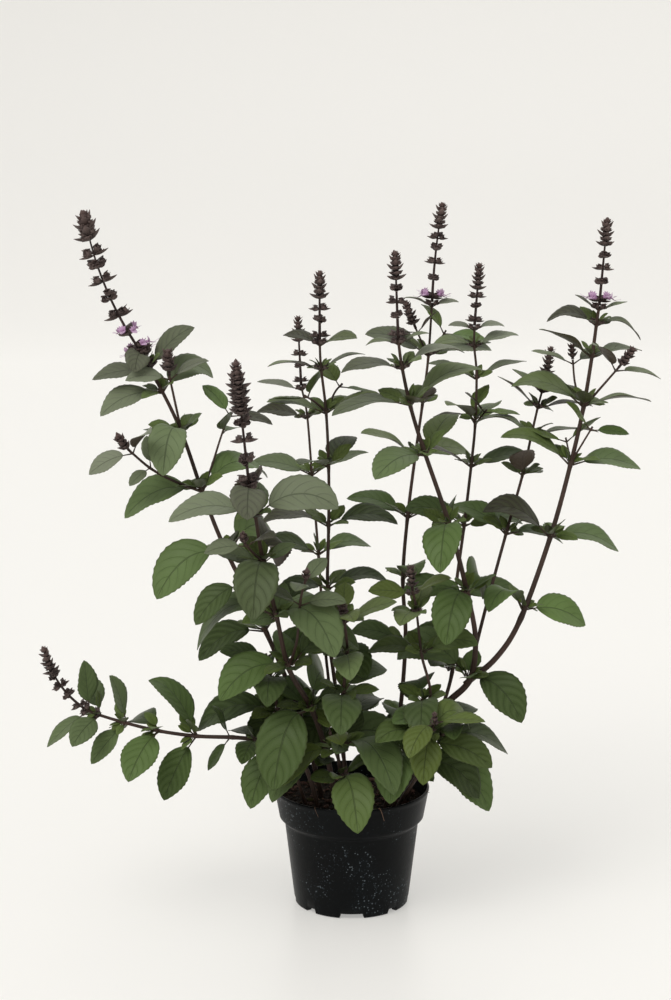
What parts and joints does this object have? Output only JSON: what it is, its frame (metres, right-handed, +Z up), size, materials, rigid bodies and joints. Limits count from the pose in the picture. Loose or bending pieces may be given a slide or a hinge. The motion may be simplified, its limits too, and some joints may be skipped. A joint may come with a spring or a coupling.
{
  "type": "potted purple basil plant",
  "caption": "Flowering purple basil plant in a small black plastic nursery pot, with dark stems, green-purple leaves and slim dark flower spikes.",
  "frame": {"origin": "centre of the pot's foot, on the surface that it stands on", "axes": "+Z up along the pot's axis, -Y towards the viewer of the picture, +X to the viewer's right"},
  "size_m": [0.4996, 0.2983, 0.575],
  "materials": {
    "pot_plastic": "black moulded plastic, slightly glossy, with pale water marks and dust",
    "soil": "dark crumbly potting soil with bark bits",
    "leafy_stems": "soft matte leaves, green to grey-purple, on dark purple-brown stems",
    "flower_spikes": "dark purple-brown bracts and calyces, with a few lilac flowers"
  },
  "bodies": {
    "root": {"pot": "pot_plastic", "soil": "soil", "stem_far_left": "leafy_stems", "stem_front_left": "leafy_stems", "stem_back_thin": "leafy_stems", "stem_middle": "leafy_stems", "stem_right_front": "leafy_stems", "stem_back_tall": "leafy_stems", "stem_right_inner": "leafy_stems", "stem_right_thin": "leafy_stems", "stem_right": "leafy_stems", "stem_low_left": "leafy_stems", "shoot_inner_middle": "leafy_stems", "shoot_inner_right": "leafy_stems", "shoot_low_right": "leafy_stems", "shoot_low_front": "leafy_stems", "shoot_low_left": "leafy_stems", "shoot_low_far_right": "leafy_stems", "spike_far_left": "flower_spikes", "spike_far_left_side_1": "flower_spikes", "spike_far_left_side_2": "flower_spikes", "spike_front_left": "flower_spikes", "spike_front_left_side_1": "flower_spikes", "spike_front_left_side_2": "flower_spikes", "spike_back_thin": "flower_spikes", "spike_middle": "flower_spikes", "spike_right_front": "flower_spikes", "spike_back_tall": "flower_spikes", "spike_back_tall_side_1": "flower_spikes", "spike_right_inner": "flower_spikes", "spike_right_thin": "flower_spikes", "spike_right": "flower_spikes", "spike_right_side_1": "flower_spikes", "spike_right_side_2": "flower_spikes", "spike_low_left": "flower_spikes", "spike_inner_middle": "flower_spikes", "spike_inner_right": "flower_spikes", "spike_low_right": "flower_spikes"}
  },
  "joints": []
}
